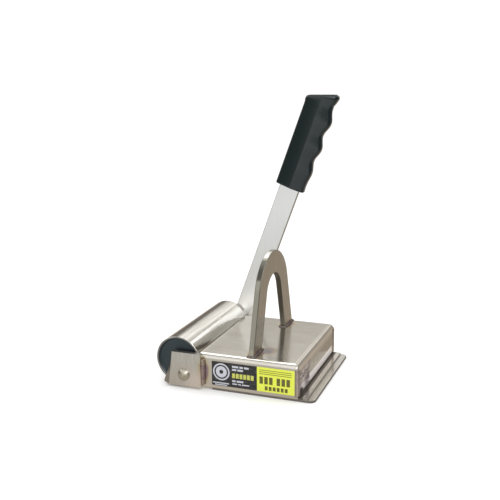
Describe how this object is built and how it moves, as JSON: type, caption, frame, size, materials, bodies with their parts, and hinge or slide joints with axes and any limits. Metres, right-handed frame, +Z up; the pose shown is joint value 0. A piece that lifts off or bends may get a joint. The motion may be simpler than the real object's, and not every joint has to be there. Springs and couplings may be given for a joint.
{
  "type": "lever-release lifting magnet",
  "caption": "Hand lifting magnet: a stainless box of poles and ferrite with a welded bail, a heel ledge and a gripped lever that turns an eccentric roller to break it off the load.",
  "frame": {"origin": "on the flat underside, straight below the bail and half way across the housing", "axes": "+Z up, the way the bail lifts; +X from the cam roller's end to the heel ledge; +Y across the housing, from the labelled face to the lever's side"},
  "size_m": [0.1883, 0.1871, 0.3234],
  "materials": {
    "stainless_sheet": "cold-rolled stainless sheet, brushed along its length",
    "stainless_plate": "stainless plate, mill finish",
    "bail_steel": "stainless plate, ground, dulled by welding heat",
    "weld_metal": "bare weld bead with heat tint",
    "cam_steel": "polished stainless tube",
    "disc_steel": "dark steel disc",
    "bar_steel": "satin zinc-plated flat bar",
    "vinyl_grip": "black dipped vinyl",
    "pole_steel": "machined low-carbon steel",
    "ferrite": "sintered ferrite, dark grey",
    "spacer_aluminium": "plain aluminium",
    "zinc_steel": "zinc-plated steel",
    "bronze": "plain bearing bronze",
    "resin": "cast epoxy resin",
    "decal_black": "printed vinyl decal, black ground",
    "decal_yellow": "printed vinyl decal, yellow ground"
  },
  "bodies": {
    "magnet": {"housing_cover": "stainless_sheet", "left_end_angle": "stainless_sheet", "corner_seam_welds": "weld_metal", "base_plate": "stainless_plate", "heel_strip": "stainless_plate", "heel_weld": "weld_metal", "pole_bars": "pole_steel", "magnet_blocks": "ferrite", "pole_spacers": "spacer_aluminium", "carrier_plate": "spacer_aluminium", "carrier_screws": "zinc_steel", "resin_fill": "resin", "front_ear": "stainless_plate", "rear_ear": "stainless_plate", "rear_ear_block": "stainless_plate", "ear_welds": "weld_metal", "pivot_pin": "zinc_steel", "pin_washer": "zinc_steel", "cotter_pin": "zinc_steel", "thrust_washers": "bronze", "bail": "bail_steel", "bail_welds": "weld_metal", "ident_decal": "decal_black", "rating_decal": "decal_yellow"},
    "lever": {"cam_tube": "cam_steel", "cam_front_disc": "disc_steel", "cam_rear_disc": "disc_steel", "cam_disc_weld": "weld_metal", "lever_bar": "bar_steel", "lever_welds": "weld_metal", "hand_grip": "vinyl_grip"}
  },
  "joints": [
    {"name": "release_lever", "type": "hinge", "parent": "magnet", "child": "lever", "pos_m": [-0.0767, 0, 0.016], "axis": [0, -1, 0], "range_deg": [0, 100]}
  ]
}
